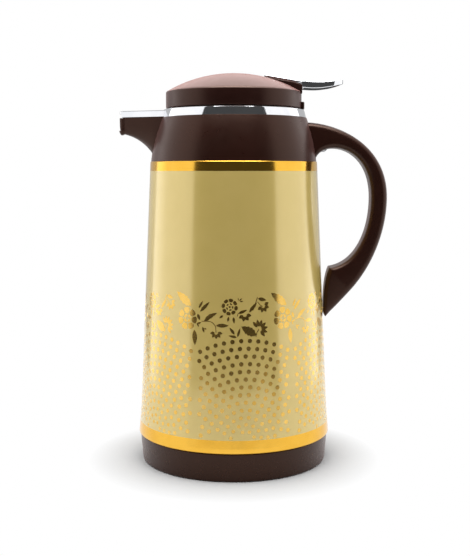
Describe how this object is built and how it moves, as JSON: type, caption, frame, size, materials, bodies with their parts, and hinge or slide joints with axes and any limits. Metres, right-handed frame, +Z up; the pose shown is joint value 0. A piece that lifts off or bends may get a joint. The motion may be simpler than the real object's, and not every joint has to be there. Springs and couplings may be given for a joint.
{
  "type": "vacuum jug",
  "caption": "Tapered vacuum jug with a lever-valve lid, pouring spout and side handle.",
  "frame": {"origin": "on the jug's vertical axis, in the plane that it stands on", "axes": "+Z up; -X along the spout; +X along the handle and lever"},
  "size_m": [0.1905, 0.138, 0.2763],
  "materials": {
    "brown_plastic": "semi-matte dark brown moulded plastic with a faint grain",
    "base_plastic": "semi-matte dark brown moulded plastic",
    "lacquered_shell": "gloss champagne lacquer with mirror gold bands and gold foil print",
    "chrome_trim": "bright chrome plating on plastic",
    "steel": "stainless steel",
    "silvered_glass": "silvered borosilicate glass",
    "pad_fibre": "pressed fibre",
    "silicone": "translucent food-grade silicone",
    "cushion_rubber": "black rubber",
    "valve_plastic": "natural white moulded plastic"
  },
  "bodies": {
    "jug": {"base_ring": "base_plastic", "bottom_cap": "base_plastic", "liner_cushion": "cushion_rubber", "liner_outer_glass": "silvered_glass", "liner_inner_glass": "silvered_glass", "liner_pads": "pad_fibre", "neck_gasket": "silicone", "body_shell": "lacquered_shell", "shoulder": "brown_plastic", "bowl": "brown_plastic", "neck_tube": "brown_plastic", "spout": "brown_plastic", "chrome_collar": "chrome_trim", "handle": "brown_plastic", "handle_screws": "steel"},
    "seal_ring": {"stopper_seal": "silicone"},
    "lid": {"stopper_body": "brown_plastic", "lid_base": "brown_plastic", "lid_cover": "brown_plastic", "lid_screws": "steel", "stem_gasket": "cushion_rubber", "lever_pin": "steel", "valve_spring": "steel"},
    "thumb_lever": {"lever": "chrome_trim"},
    "valve": {"valve_stem": "steel", "valve_disc": "valve_plastic", "valve_seal": "silicone", "stem_nut": "steel"}
  },
  "joints": [
    {"name": "lid_lift", "type": "slide", "parent": "jug", "child": "seal_ring", "axis": [0, 0, 1], "range_m": [0, 0.06]},
    {"name": "lid_turn", "type": "hinge", "parent": "seal_ring", "child": "lid", "pos_m": [0, 0, 0.25], "axis": [0, 0, 1], "range_deg": [0, 120]},
    {"name": "lever_press", "type": "hinge", "parent": "lid", "child": "thumb_lever", "pos_m": [0.042, 0, 0.266], "axis": [0, 1, 0], "range_deg": [0, 8], "stiffness_Nm_per_rad": 1.5, "springref_deg": -5.73},
    {"name": "valve_lift", "type": "slide", "parent": "lid", "child": "valve", "axis": [0, 0, 1], "range_m": [0, 0.0059], "deforming": ["valve_spring"]}
  ],
  "couplings": [
    {"joint": "lever_press", "follows": "valve_lift", "rad_per_m": 23.53}
  ]
}
